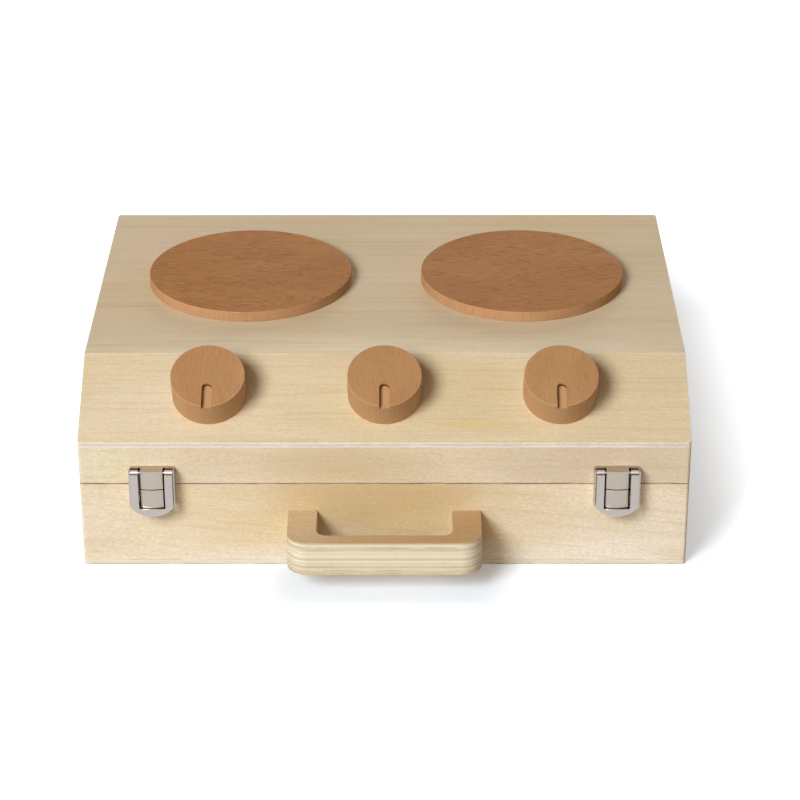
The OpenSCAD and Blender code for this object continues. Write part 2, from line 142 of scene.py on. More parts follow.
class Sheet:
    """Adds nodes to one shader tree and joins them."""

    row: int = 12
    spacing: tuple[int, int] = (180, -220)

    def __init__(self, tree: bpy.types.NodeTree) -> None:
        """Works on the given tree.

        Args:
            tree: A material's tree, the world's tree or a node group.
        """
        self.tree = tree
        self.count = 0

    def add(self, kind: str, **settings: object) -> bpy.types.Node:
        """Adds a node.

        Args:
            kind: Blender's name for the node type.
            **settings: Properties of the node.

        Returns:
            The new node.
        """
        node = self.tree.nodes.new(kind)
        down, across = divmod(self.count, self.row)
        node.location = (self.spacing[0] * across, self.spacing[1] * down)
        self.count += 1
        for name, value in settings.items():
            setattr(node, name, value)
        return node

    def feed(self, socket: Link, value: object) -> None:
        """Joins a socket to another one, or sets it to a plain value.

        Args:
            socket: The input.
            value: An output socket, a number, a triple or a colour.
        """
        if isinstance(value, bpy.types.NodeSocket):
            self.tree.links.new(value, socket)
        else:
            socket.default_value = value

    def joined(self, kind: str, terms: tuple, **settings: object) -> bpy.types.Node:
        """Adds a node and feeds its inputs in their order.

        Args:
            kind: Blender's name for the node type.
            terms: Sockets or plain values.
            **settings: Properties of the node.

        Returns:
            The new node.
        """
        node = self.add(kind, **settings)
        for socket, term in zip(node.inputs, terms):
            self.feed(socket, term)
        return node

    def calc(self, operation: str, *terms: object) -> Link:
        """A number that the Math node works out from others."""
        return self.joined("ShaderNodeMath", terms, operation=operation).outputs[0]

    def plus(self, first: object, second: object) -> Link:
        """Two numbers added."""
        return self.calc("ADD", first, second)

    def minus(self, first: object, second: object) -> Link:
        """The second number taken from the first."""
        return self.calc("SUBTRACT", first, second)

    def times(self, first: object, second: object) -> Link:
        """Two numbers multiplied."""
        return self.calc("MULTIPLY", first, second)

    def aim(self, operation: str, *terms: object) -> Link:
        """A vector, or a length, that the Vector Math node works out from others."""
        node = self.joined("ShaderNodeVectorMath", terms, operation=operation)
        return node.outputs["Value" if operation == "LENGTH" else "Vector"]

    def triple(self, x: object, y: object, z: object) -> Link:
        """Three numbers as one vector."""
        return self.joined("ShaderNodeCombineXYZ", (x, y, z)).outputs[0]

    def split(self, vector: Link) -> tuple[Link, Link, Link]:
        """A vector's three numbers."""
        return tuple(self.joined("ShaderNodeSeparateXYZ", (vector,)).outputs)

    def spread(self, value: Link, low: object, high: object, to: Span = (0.0, 1.0)) -> Link:
        """A number taken smoothly from the span between low and high to another one, and held within it."""
        settings = {"interpolation_type": "SMOOTHSTEP", "clamp": True}
        return self.joined("ShaderNodeMapRange", (value, low, high, *to), **settings).outputs[0]

    def noise(self, place: Link, seed: object, detail: float = 2.0, rough: float = 0.5) -> Link:
        """Cloudy noise from 0 to 1, one unit across.

        Args:
            place: Where it is read, in units of its own size.
            seed: Picks one of many patterns.
            detail: How many finer steps it has.
            rough: How strong the finer steps are.

        Returns:
            The value's socket.
        """
        node = self.add("ShaderNodeTexNoise", noise_dimensions="4D")
        values = {"Vector": place, "W": seed, "Scale": 1.0, "Detail": detail, "Roughness": rough}
        for name, value in values.items():
            self.feed(node.inputs[name], value)
        return node.outputs["Fac"]

    def cloud(self, place: Link, steps: Triple, seed: object, **settings: float) -> Link:
        """Noise at a place in metres, with so many steps for each metre along X, Y and Z."""
        return self.noise(self.aim("MULTIPLY", place, steps), seed, **settings)

    def cells(self, place: Link, length: Link, width: Link) -> Link:
        """A place counted in cells of one length along X and one width across."""
        return self.aim("DIVIDE", place, self.triple(length, width, width))

    def shift(self, cloud: Link, reach: object) -> Link:
        """Noise as a shift to either side, half the reach at most."""
        return self.times(self.minus(cloud, 0.5), reach)

    def chance(self, step: Link, seed: Link) -> Link:
        """A number from 0 to 1 that is the same all over one whole step, picked by its seed."""
        place = (self.triple(step, seed, 0.0),)
        return self.joined("ShaderNodeTexWhiteNoise", place, noise_dimensions="2D").outputs["Value"]

    def tint(self, mask: Link, first: object, second: object) -> Link:
        """One colour laid over another.

        Args:
            mask: How much of the second shows, 0 to 1.
            first: Colour underneath.
            second: Colour on top.

        Returns:
            The colour's socket.
        """
        node = self.add("ShaderNodeMix", data_type="RGBA", blend_type="MIX")
        self.feed(node.inputs["Factor"], mask)
        self.feed(node.inputs[6], first)
        self.feed(node.inputs[7], second)
        return node.outputs[2]

    def coat(self, under: object, tone: Triple, mask: Link, share: object) -> Link:
        """A tone, as it looks on screen, laid over a colour where the mask is, with some of its strength."""
        return self.tint(self.times(mask, share), under, ink(*tone))


# ---- shared effects ----


class Effect(Enum):
    """Surface effects that several finishes share, each one a node group."""

    GRAIN = "long_grain"
    FLECK = "short_flecks"
    PINS = "pin_marks"
    LAYERS = "ply_layers"
    EDGE = "edge_wear_and_highlight"
    BRUSH = "brushed_metal"


class Group(Sheet):
    """A node group: it takes a place, a seed and values of its own, and gives plain numbers."""

    def __init__(self, effect: Effect, **inputs: object) -> None:
        """Starts the group with its named inputs.

        Args:
            effect: Which effect it is.
            **inputs: First value of each input, beside the place and the seed.
        """
        super().__init__(bpy.data.node_groups.new(effect.value, "ShaderNodeTree"))
        for name, value in {"place": (0.0, 0.0, 0.0), "seed": 0.0, **inputs}.items():
            kind = "NodeSocketVector" if isinstance(value, tuple) else "NodeSocketFloat"
            socket = self.tree.interface.new_socket(name=name, in_out="INPUT", socket_type=kind)
            socket.default_value = value
        entry = self.add("NodeGroupInput")
        self.given = SimpleNamespace(**{s.name: s for s in entry.outputs if s.name})

    def give(self, **outputs: Link) -> bpy.types.NodeTree:
        """Ends the group with its named outputs.

        Args:
            **outputs: What each output gives.

        Returns:
            The finished group.
        """
        for name in outputs:
            self.tree.interface.new_socket(name=name, in_out="OUTPUT", socket_type="NodeSocketFloat")
        end = self.add("NodeGroupOutput")
        for name, value in outputs.items():
            self.feed(end.inputs[name], value)
        return self.tree


class Effects:
    """The shared effects, each one built once as a node group."""

    def __init__(self) -> None:
        """Builds all the groups."""
        self.made = {
            Effect.GRAIN: self.grain(),
            Effect.FLECK: self.fleck(),
            Effect.PINS: self.pins(),
            Effect.LAYERS: self.layers(),
            Effect.EDGE: self.edge(),
            Effect.BRUSH: self.brush(),
        }

    @staticmethod
    def grain() -> bpy.types.NodeTree:
        """Long grain along X: a slow drift of tone, wandering streaks, fine fibres and short mottling.

        Returns:
            The group.
        """
        group = Group(
            Effect.GRAIN,
            drift_size=0.06,
            streak_length=0.09,
            streak_width=0.004,
            fibre_length=0.012,
            fibre_width=0.0006,
            sway=0.0015,
            slant=0.0,
        )
        given = group.given
        bend_steps, mottle_steps = (9.0, 22.0, 22.0), (420.0, 950.0, 950.0)
        x, y, z = group.split(given.place)
        place = group.triple(x, group.plus(y, group.times(x, given.slant)), z)
        bend = group.shift(group.cloud(place, bend_steps, given.seed, detail=1.0), given.sway)
        bent = group.aim("ADD", place, group.triple(0.0, bend, bend))
        drift = group.cells(place, group.times(given.drift_size, 2.0), given.drift_size)
        streaks = group.cells(bent, given.streak_length, given.streak_width)
        fibres = group.cells(bent, given.fibre_length, given.fibre_width)
        other = group.plus(given.seed, STREAK_SEED)
        return group.give(
            drift=group.noise(drift, given.seed, detail=1.0),
            streaks=group.noise(streaks, other, detail=3.0, rough=0.6),
            fibres=group.noise(fibres, other),
            mottle=group.cloud(bent, mottle_steps, other, detail=3.0, rough=0.7),
        )

    @staticmethod
    def fleck() -> bpy.types.NodeTree:
        """Short dark dashes along X, as beech has, gathered in loose patches.

        Returns:
            The group.
        """
        group = Group(Effect.FLECK, length=0.004, width=0.0005, share=0.4)
        given = group.given
        patch_steps, rarest, least, soft = (40.0, 90.0, 90.0), 0.86, 0.25, 0.12
        dashes = group.noise(group.cells(given.place, given.length, given.width), given.seed, detail=1.0)
        patch = group.cloud(given.place, patch_steps, given.seed, detail=1.0)
        limit = group.minus(rarest, group.times(given.share, group.plus(patch, least)))
        return group.give(mask=group.spread(dashes, limit, group.plus(limit, soft)))

    @staticmethod
    def pins() -> bpy.types.NodeTree:
        """A few small dark pores and pin marks.

        Returns:
            The group.
        """
        group = Group(Effect.PINS, spacing=0.012, size=0.0005)
        given = group.given
        bare_share, core = 0.72, 0.4
        cells = group.add("ShaderNodeTexVoronoi", voronoi_dimensions="4D")
        place = group.cells(given.place, given.spacing, given.spacing)
        for name, value in (("Vector", place), ("W", given.seed), ("Scale", 1.0)):
            group.feed(cells.inputs[name], value)
        reach = group.calc("DIVIDE", given.size, given.spacing)
        spot = group.spread(cells.outputs["Distance"], group.times(reach, core), reach, (1.0, 0.0))
        chosen = group.calc("GREATER_THAN", group.split(cells.outputs["Color"])[0], bare_share)
        return group.give(mask=group.times(spot, chosen))

    @staticmethod
    def layers() -> bpy.types.NodeTree:
        """Plywood's sheets, counted through its thickness: crosswise ones, their tone, dark and pale joints.

        Returns:
            The group.
        """
        group = Group(Effect.LAYERS, low=0.0, high=1.0, sheets=3.0, wobble=0.15, unevenness=0.0)
        given = group.given
        seed = given.seed
        lazy_steps, gap_steps, thickness_steps = (35.0, 35.0, 90.0), (55.0, 55.0, 400.0), 5.0
        depth = group.split(given.place)[2]
        share = group.calc("DIVIDE", group.minus(depth, given.low), group.minus(given.high, given.low))
        lazy = group.cloud(given.place, lazy_steps, seed)
        within = group.triple(0.0, 0.0, group.times(share, thickness_steps))
        uneven = group.noise(within, group.plus(seed, LAYER_SEED), detail=0.0)
        sway = group.plus(group.shift(lazy, given.wobble), group.shift(uneven, given.unevenness))
        count = group.plus(group.times(share, given.sheets), sway)
        level = group.calc("FLOOR", count)
        inside = group.minus(count, level)
        near = group.calc("MINIMUM", inside, group.minus(1.0, inside))
        parity = group.times(group.calc("FRACT", group.times(level, 0.5)), 2.0)
        joint = group.chance(group.calc("ROUND", count), group.plus(seed, JOINT_SEED))
        line = group.minus(1.0, group.spread(near, 0.06, 0.26))
        gaps = group.cloud(given.place, gap_steps, group.plus(seed, GAP_SEED))
        dark = group.times(group.spread(joint, 0.3, 0.6), group.spread(gaps, 0.38, 0.58))
        return group.give(
            crosswise=group.times(parity, group.spread(near, 0.0, 0.2)),
            tone=group.chance(level, seed),
            glue=group.times(line, dark),
            bright=group.times(line, group.spread(joint, 0.25, 0.4, (1.0, 0.0))),
        )

    @staticmethod
    def edge() -> bpy.types.NodeTree:
        """How near a point is to its piece's edges, broken up unevenly: for the boards' worn edges, and for
        the painted highlight along the beech rims.

        Returns:
            The group.
        """
        group = Group(Effect.EDGE, low=(0.0, 0.0, 0.0), high=(1.0, 1.0, 1.0), reach=0.001)
        given = group.given
        wear_steps = (160.0, 160.0, 160.0)
        to_low = group.aim("SUBTRACT", given.place, given.low)
        to_high = group.aim("SUBTRACT", given.high, given.place)
        x, y, z = group.split(group.aim("MINIMUM", to_low, to_high))
        lesser, greater = group.calc("MINIMUM", x, y), group.calc("MAXIMUM", x, y)
        middle = group.calc("MAXIMUM", lesser, group.calc("MINIMUM", greater, z))
        uneven = group.times(group.cloud(given.place, wear_steps, given.seed), 2.0)
        reach = group.times(given.reach, uneven)
        return group.give(mask=group.spread(middle, 0.0, reach, (1.0, 0.0)))

    @staticmethod
    def brush() -> bpy.types.NodeTree:
        """Fine brushing along X and soft cloudiness of plated sheet.

        Returns:
            The group.
        """
        group = Group(Effect.BRUSH, length=0.006, width=0.00012)
        given = group.given
        cloud_steps = (60.0, 60.0, 60.0)
        return group.give(
            lines=group.noise(group.cells(given.place, given.length, given.width), given.seed),
            cloud=group.cloud(given.place, cloud_steps, given.seed, detail=1.0),
        )


@dataclass(frozen=True)
class Work:
    """A material being drawn for one piece, with the piece's place and facing in its own lie."""

    piece: Piece
    effects: Effects
    sheet: Sheet
    place: Link
    facing: Link

    def put(self, effect: Effect, **values: object) -> SimpleNamespace:
        """Puts a shared effect into the material, read at the piece's place with the piece's seed.

        Args:
            effect: Which effect.
            **values: Its inputs, where they aren't the first ones.

        Returns:
            The effect's outputs by name.
        """
        node = self.sheet.add("ShaderNodeGroup", label=effect.value)
        node.node_tree = self.effects.made[effect]
        for name, value in {"place": self.place, "seed": self.piece.seed, **values}.items():
            self.sheet.feed(node.inputs[name], value)
        return SimpleNamespace(**{s.name: s for s in node.outputs})


# ---- finishes ----


@dataclass(frozen=True)
class Finish(ABC):
    """What every finish has: a shader with its fixed gloss, and the piece's own coordinates."""

    roughness: Span = (0.6, 0.72)
    bump: float = 0.02 * MM
    specular: float = 0.2
    metallic: float = 0.0

    def material(self, piece: Piece, effects: Effects) -> bpy.types.Material:
        """The finish on one piece.

        Args:
            piece: The piece.
            effects: The shared effects.

        Returns:
            The material.
        """
        material = bpy.data.materials.new(piece.node)
        material.use_nodes = True
        material.node_tree.nodes.clear()
        sheet = Sheet(material.node_tree)
        coords = sheet.add("ShaderNodeTexCoord")
        turn = piece.lay.value.matrix().to_euler("XYZ")
        turned = []
        for name, kind in (("Object", "POINT"), ("Normal", "VECTOR")):
            mapping = sheet.add("ShaderNodeMapping", vector_type=kind)
            mapping.inputs["Rotation"].default_value = turn
            sheet.feed(mapping.inputs["Vector"], coords.outputs[name])
            turned.append(mapping.outputs[0])
        colour, matt, height = self.coats(Work(piece, effects, sheet, *turned))
        bump = sheet.add("ShaderNodeBump")
        bump.inputs["Distance"].default_value = self.bump
        bump.inputs["Strength"].default_value = 1.0
        sheet.feed(bump.inputs["Height"], height)
        shader = sheet.add("ShaderNodeBsdfPrincipled")
        shader.inputs["Specular IOR Level"].default_value = self.specular
        shader.inputs["Metallic"].default_value = self.metallic
        sheet.feed(shader.inputs["Base Color"], colour)
        sheet.feed(shader.inputs["Roughness"], sheet.spread(matt, 0.2, 0.8, self.roughness))
        sheet.feed(shader.inputs["Normal"], bump.outputs[0])
        end = sheet.add("ShaderNodeOutputMaterial")
        sheet.feed(end.inputs["Surface"], shader.outputs[0])
        return material

    @abstractmethod
    def coats(self, work: Work) -> Coats:
        """Draws what makes up the finish.

        Args:
            work: The material being drawn.

        Returns:
            The colour, how matt it is from 0 to 1, and the relief from 0 to 1.
        """


@dataclass(frozen=True)
class Patch:
    """A broad soft patch of another tone on a board, such as heartwood or a pale end gives; on the base's
    front two of them are painted light and painted shadow around the handle.
    """

    colour: Triple
    at: Triple
    reach: Span
    share: float = 0.8
    ragged: float = 0.5

    def lay_on(self, work: Work, colour: Link) -> Link:
        """Lays the patch over a board's colour.

        Args:
            work: The board's material.
            colour: The colour so far.

        Returns:
            The new colour.
        """
        sheet = work.sheet
        cloud_steps = (24.0, 60.0, 60.0)
        centre = work.piece.lay.value.matrix() @ Vector(self.at)
        away = sheet.aim("DIVIDE", sheet.aim("SUBTRACT", work.place, centre), (*self.reach, 1.0))
        cloud = sheet.cloud(work.place, cloud_steps, work.piece.seed + PATCH_SEED, detail=3.0)
        far = sheet.plus(sheet.aim("LENGTH", away), sheet.shift(cloud, self.ragged))
        return sheet.tint(sheet.spread(far, 0.1, 1.0, (self.share, 0.0)), colour, ink(*self.colour))


@dataclass(frozen=True)
class Joint:
    """The thin dark line where one board meets the next, at a height on its upright coordinate; along the
    base's foot it is painted contact shade.
    """

    height: float
    share: float
    ragged: float
    colour: Triple = (146, 104, 64)
    reach: float = 0.6 * MM
    upright: int = 1

    def lay_on(self, work: Work, colour: Link) -> Link:
        """Lays the line over a board's colour.

        Args:
            work: The board's material.
            colour: The colour so far.

        Returns:
            The new colour.
        """
        sheet = work.sheet
        gap_steps = (70.0, 300.0, 70.0)
        away = sheet.calc("ABSOLUTE", sheet.minus(sheet.split(work.place)[self.upright], self.height))
        line = sheet.spread(away, 0.5 * self.reach, self.reach, (self.share, 0.0))
        cloud = sheet.cloud(work.place, gap_steps, work.piece.seed + LINE_SEED)
        broken = sheet.spread(cloud, 0.35, 0.6, (1.0 - self.ragged, 1.0))
        return sheet.coat(colour, self.colour, line, broken)


@dataclass(frozen=True)
class PaleWood(Finish):
    """Sanded pale board with faint fine grain; plywood ones show their sheets on the edges."""

    pale: Triple = (231, 213, 180)
    deep: Triple = (223, 200, 160)
    streak: Triple = (196, 164, 116)
    drift_size: float = 0.035
    streak_width: float = 0.0022
    streak_length: float = 0.05
    streak_share: float = 0.22
    fibre_share: float = 0.18
    mottle_share: float = 0.28
    speck_share: float = 0.14
    sway: float = 0.0015
    slant: float = 0.0
    pin: Triple = (120, 92, 58)
    pin_spacing: float = 0.03
    pin_share: float = 0.25
    patches: tuple[Patch, ...] = ()
    joints: tuple[Joint, ...] = ()
    sheets: float = 0.0
    unevenness: float = 0.0
    edge_pale: Triple = (240, 230, 208)
    edge_deep: Triple = (219, 202, 172)
    edge_pin: Triple = (130, 102, 70)
    edge_pin_spacing: float = 0.009
    edge_pin_share: float = 0.4
    glue: Triple = (186, 162, 128)
    glue_share: float = 0.4
    pore_share: float = 0.22
    skin: float = 0.0
    wobble: float = 0.15
    worn: float = 0.25
    worn_reach: float = 1.0 * MM

    def coats(self, work: Work) -> Coats:
        """Grain, patches, specks and pin marks, then the plywood's sheets, the worn edges and the joints.

        Args:
            work: The material being drawn.

        Returns:
            The colour, the gloss along the streaks, and the relief of the fibres.
        """
        sheet = work.sheet
        low, high = work.piece.corners()
        grain = work.put(
            Effect.GRAIN,
            drift_size=self.drift_size,
            streak_length=self.streak_length,
            streak_width=self.streak_width,
            sway=self.sway,
            slant=self.slant,
        )
        colour = sheet.tint(sheet.spread(grain.drift, 0.3, 0.7), ink(*self.pale), ink(*self.deep))
        for patch in self.patches:
            colour = patch.lay_on(work, colour)
        for mask, share in (
            (sheet.spread(grain.streaks, 0.42, 0.78), self.streak_share),
            (sheet.spread(grain.fibres, 0.35, 0.8), self.fibre_share),
            (sheet.spread(grain.mottle, 0.36, 0.68), self.mottle_share),
        ):
            colour = sheet.coat(colour, self.streak, mask, share)
        specks = sheet.spread(grain.mottle, 0.3, 0.46, (self.speck_share, 0.0))
        colour = sheet.tint(specks, colour, ink(*self.edge_pale))
        pins = work.put(Effect.PINS, spacing=self.pin_spacing)
        colour = sheet.coat(colour, self.pin, pins.mask, self.pin_share)
        if self.sheets:
            colour = self.edged(work, colour)
        worn = work.put(Effect.EDGE, low=low, high=high, reach=self.worn_reach)
        colour = sheet.coat(colour, self.edge_pale, worn.mask, self.worn)
        for joint in self.joints:
            colour = joint.lay_on(work, colour)
        return colour, grain.streaks, grain.fibres

    def edged(self, work: Work, colour: Link) -> Link:
        """The sheets of plywood on the faces across its thickness.

        Args:
            work: The material being drawn.
            colour: The colour of the faces.

        Returns:
            The new colour.
        """
        sheet = work.sheet
        low, high = work.piece.corners()
        layers = work.put(
            Effect.LAYERS,
            low=low.z,
            high=high.z,
            sheets=self.sheets,
            wobble=self.wobble,
            unevenness=self.unevenness,
        )
        pore = {"length": 1.6 * MM, "width": 0.4 * MM, "share": 0.42}
        pores = work.put(Effect.FLECK, seed=work.piece.seed + PORE_SEED, **pore)
        pins = work.put(Effect.PINS, spacing=self.edge_pin_spacing)
        cross = sheet.times(layers.crosswise, sheet.plus(0.2, sheet.times(layers.tone, 0.55)))
        edge = sheet.tint(cross, ink(*self.edge_pale), ink(*self.edge_deep))
        for tone, mask, share in (
            (self.edge_deep, layers.tone, 0.65),
            (self.edge_pale, layers.bright, 0.8),
            (self.glue, layers.glue, self.glue_share),
            (self.glue, pores.mask, self.pore_share),
            (self.edge_pin, pins.mask, self.edge_pin_share),
        ):
            edge = sheet.coat(edge, tone, mask, share)
        if self.skin:
            depth = sheet.split(work.place)[2]
            nearest = sheet.calc("MINIMUM", sheet.minus(high.z, depth), sheet.minus(depth, low.z))
            skin = sheet.spread(nearest, 0.7 * self.skin, 1.2 * self.skin, (0.7, 0.0))
            edge = sheet.tint(skin, edge, ink(*self.pale))
        flat = sheet.calc("ABSOLUTE", sheet.split(work.facing)[2])
        return sheet.tint(sheet.spread(flat, 0.45, 0.65), edge, colour)


@dataclass(frozen=True)
class Beech(Finish):
    """Reddish beech with its short flecks, smooth sanded, thin matt coat."""

    specular: float = 0.06
    body: Triple = (184, 132, 81)
    deep: Triple = (175, 122, 73)
    streak_share: float = 0.3
    fleck: Triple = (136, 82, 46)
    fleck_share: float = 0.4
    fleck_length: float = 0.0036
    fleck_width: float = 0.00032
    fleck_depth: float = 0.4
    fibre_share: float = 0.3
    fibre_length: float = 0.007
    fibre_width: float = 0.00032
    # Tone of the turned side: partly the turned wood's own, partly painted light that makes the sides
    # brighter than the top.
    side: Triple = (188, 149, 113)
    side_tone_and_light_share: float = 0.8
    turning_steps: float = 900.0
    # pale tone for the pale fibres, the groove's floor and the painted highlight along the rim
    edge: Triple = (208, 160, 116)
    rim_highlight_share: float = 0.7
    rim_highlight_reach: float = 0.6 * MM
    # dark colour painted on the groove's walls as shade
    groove_shade: Triple = (84, 48, 32)
    groove_shade_share: float = 0.0
    groove_shade_depth: float = 1.8 * MM

    def coats(self, work: Work) -> Coats:
        """Grain and flecks, then the turned side, partly painted light, the groove with painted shade on its
        walls where it has one, and a painted highlight along the rim.

        Args:
            work: The material being drawn.

        Returns:
            The colour, the gloss along the streaks, and the relief of fibres and flecks.
        """
        sheet = work.sheet
        low, high = work.piece.corners()
        centre, radius = (low + high) / 2, (high.x - low.x) / 2
        x, y, z = sheet.split(sheet.aim("SUBTRACT", work.place, centre))
        round_about = sheet.triple(x, y, 0.0)
        out = sheet.aim("LENGTH", round_about)
        grain = work.put(
            Effect.GRAIN,
            drift_size=0.03,
            streak_length=0.03,
            streak_width=0.0018,
            fibre_length=self.fibre_length,
            fibre_width=self.fibre_width,
            sway=0.001,
        )
        colour = sheet.tint(sheet.spread(grain.drift, 0.3, 0.7), ink(*self.body), ink(*self.deep))
        colour = sheet.coat(colour, self.deep, sheet.spread(grain.streaks, 0.4, 0.8), self.streak_share)
        colour = sheet.coat(colour, self.fleck, sheet.spread(grain.fibres, 0.48, 0.72), self.fibre_share)
        pale = sheet.spread(grain.fibres, 0.3, 0.48, (0.5 * self.fibre_share, 0.0))
        colour = sheet.tint(pale, colour, ink(*self.edge))
        size = {"length": self.fleck_length, "width": self.fleck_width}
        flecks = work.put(Effect.FLECK, share=self.fleck_share, **size)
        colour = sheet.coat(colour, self.fleck, flecks.mask, self.fleck_depth)
        level = sheet.calc("ABSOLUTE", sheet.split(work.facing)[2])
        upright = sheet.spread(level, 0.3, 0.8, (1.0, 0.0))
        steps = (self.turning_steps, self.turning_steps, 0.0)
        turned = sheet.spread(sheet.cloud(round_about, steps, work.piece.seed), 0.42, 0.7)
        # the turned side's tone, partly painted light: sides brighter than the top
        side = sheet.coat(ink(*self.side), self.deep, turned, 0.5)
        colour = sheet.tint(sheet.times(upright, self.side_tone_and_light_share), colour, side)
        # The knob's groove: its walls painted dark as shade, its floor given the pale tone.
        if self.groove_shade_share:
            top = high.z - centre.z
            sunk = sheet.spread(z, top - self.groove_shade_depth, top - 0.6 * MM, (self.groove_shade_share, 0.0))
            within = sheet.spread(out, radius - 1.2 * MM, radius - 0.8 * MM, (1.0, 0.0))
            inside = sheet.times(sunk, within)
            colour = sheet.coat(colour, self.edge, inside, sheet.spread(level, 0.6, 0.9, (0.0, 0.6)))
            colour = sheet.coat(colour, self.groove_shade, upright, inside)
        # A pale line along the rim, a painted highlight.
        rim = work.put(
            Effect.EDGE,
            place=sheet.triple(out, 0.0, z),
            low=(-1.0, -1.0, low.z - centre.z),
            high=(radius, 1.0, high.z - centre.z),
            reach=self.rim_highlight_reach,
        )
        colour = sheet.coat(colour, self.edge, rim.mask, self.rim_highlight_share)
        return colour, grain.streaks, sheet.minus(grain.fibres, sheet.times(flecks.mask, 0.5))


@dataclass(frozen=True)
class PaintedRecessShade:
    """A slot in sheet metal, painted dark as the shade that falls into it."""

    middle: float
    half: float
    front: float
    depth: float
    heights: Span = (-1.0, 1.0)
    # colour of the painted shade deep in the slot
    painted_shade: Triple = (34, 27, 22)
    side_blur: float = 0.2 * MM
    end_blur: float = 0.3 * MM

    def lay_on(self, work: Work, colour: Link) -> Link:
        """Paints shade on what lies deep in the slot, apart from faces that look up.

        Args:
            work: The sheet metal's material.
            colour: The colour so far.

        Returns:
            The new colour.
        """
        sheet = work.sheet
        low, high = self.heights
        x, up, z = sheet.split(work.place)
        aside = sheet.calc("ABSOLUTE", sheet.minus(x, self.middle))
        inside = sheet.spread(aside, self.half, self.half + self.side_blur, (1.0, 0.0))
        deep = sheet.spread(z, self.front - self.depth, self.front - 0.4 * self.depth, (1.0, 0.0))
        level = sheet.spread(sheet.split(work.facing)[1], 0.15, 0.4, (1.0, 0.0))
        above = sheet.spread(up, low, low + self.end_blur)
        below = sheet.spread(up, high - self.end_blur, high, (1.0, 0.0))
        mask = sheet.times(sheet.times(inside, deep), level)
        # painted shade, deep in the slot and between its ends
        return sheet.coat(colour, self.painted_shade, mask, sheet.times(above, below))


@dataclass(frozen=True)
class PlatedSheet(Finish):
    """Plated sheet steel, satin and smooth, with very fine brushing."""

    roughness: Span = (0.3, 0.36)
    bump: float = 0.002 * MM
    specular: float = 0.5
    metallic: float = 1.0
    colour: Triple = (196, 186, 178)
    deep: Triple = (186, 176, 168)
    recess_shades: tuple[PaintedRecessShade, ...] = ()

    def coats(self, work: Work) -> Coats:
        """A cloudy plating, with painted shade in its slots.

        Args:
            work: The material being drawn.

        Returns:
            The colour, the gloss of the clouds, and the relief of the brushing.
        """
        sheet, brush = work.sheet, work.put(Effect.BRUSH)
        colour = sheet.tint(sheet.spread(brush.cloud, 0.2, 0.85), ink(*self.colour), ink(*self.deep))
        # painted shade in the slots, under the flange and under the barrel
        for recess in self.recess_shades:
            colour = recess.lay_on(work, colour)
        return colour, brush.cloud, brush.lines


NICKEL = PlatedSheet()
ZINC = PlatedSheet(roughness=(0.42, 0.5), colour=(184, 185, 186), deep=(166, 168, 170))


# ---- sub-assemblies ----


def ease_edges(thing: bpy.types.Object, width: float) -> None:
    """Rounds a piece's edges with modifiers and leaves its mesh as it is.

    Args:
        thing: The piece's object.
        width: Width of the eased edges in metres.
    """
    weld = thing.modifiers.new("weld", "WELD")
    weld.merge_threshold = WELD_REACH
    merge = thing.modifiers.new("faces", "DECIMATE")
    merge.decimate_type, merge.angle_limit = "DISSOLVE", FLAT_ANGLE
    bevel = thing.modifiers.new("eased_edges", "BEVEL")
    bevel.width, bevel.segments = width, EDGE_STEPS
    bevel.limit_method, bevel.angle_limit = "ANGLE", EDGE_ANGLE
    smooth = thing.modifiers.new("smooth_edges", "WEIGHTED_NORMAL")
    smooth.keep_sharp, smooth.weight = False, SMOOTH_WEIGHT


@dataclass
class Part:
    """A sub-assembly, which dresses its pieces with the shared effects."""

    effects: Effects

    def dress(self, node: str, lay: Board, seed: float, finish: Finish, ease: float = 0.0) -> None:
        """Gives a piece of the frame its finish and eased edges.

        Args:
            node: The piece's name.
            lay: How it lies.
            seed: Picks its pattern.
            finish: Its finish.
            ease: Width of the eased edges in metres, or 0.
        """
        thing = frame["nodes"][node]
        material = finish.material(Piece(node, lay, seed), self.effects)
        for holder in thing.material_slots:
            holder.material = material
        if ease:
            ease_edges(thing, ease)
        log.info("dressed %s: %s, edges eased %.2f mm", node, type(finish).__name__, ease / MM)


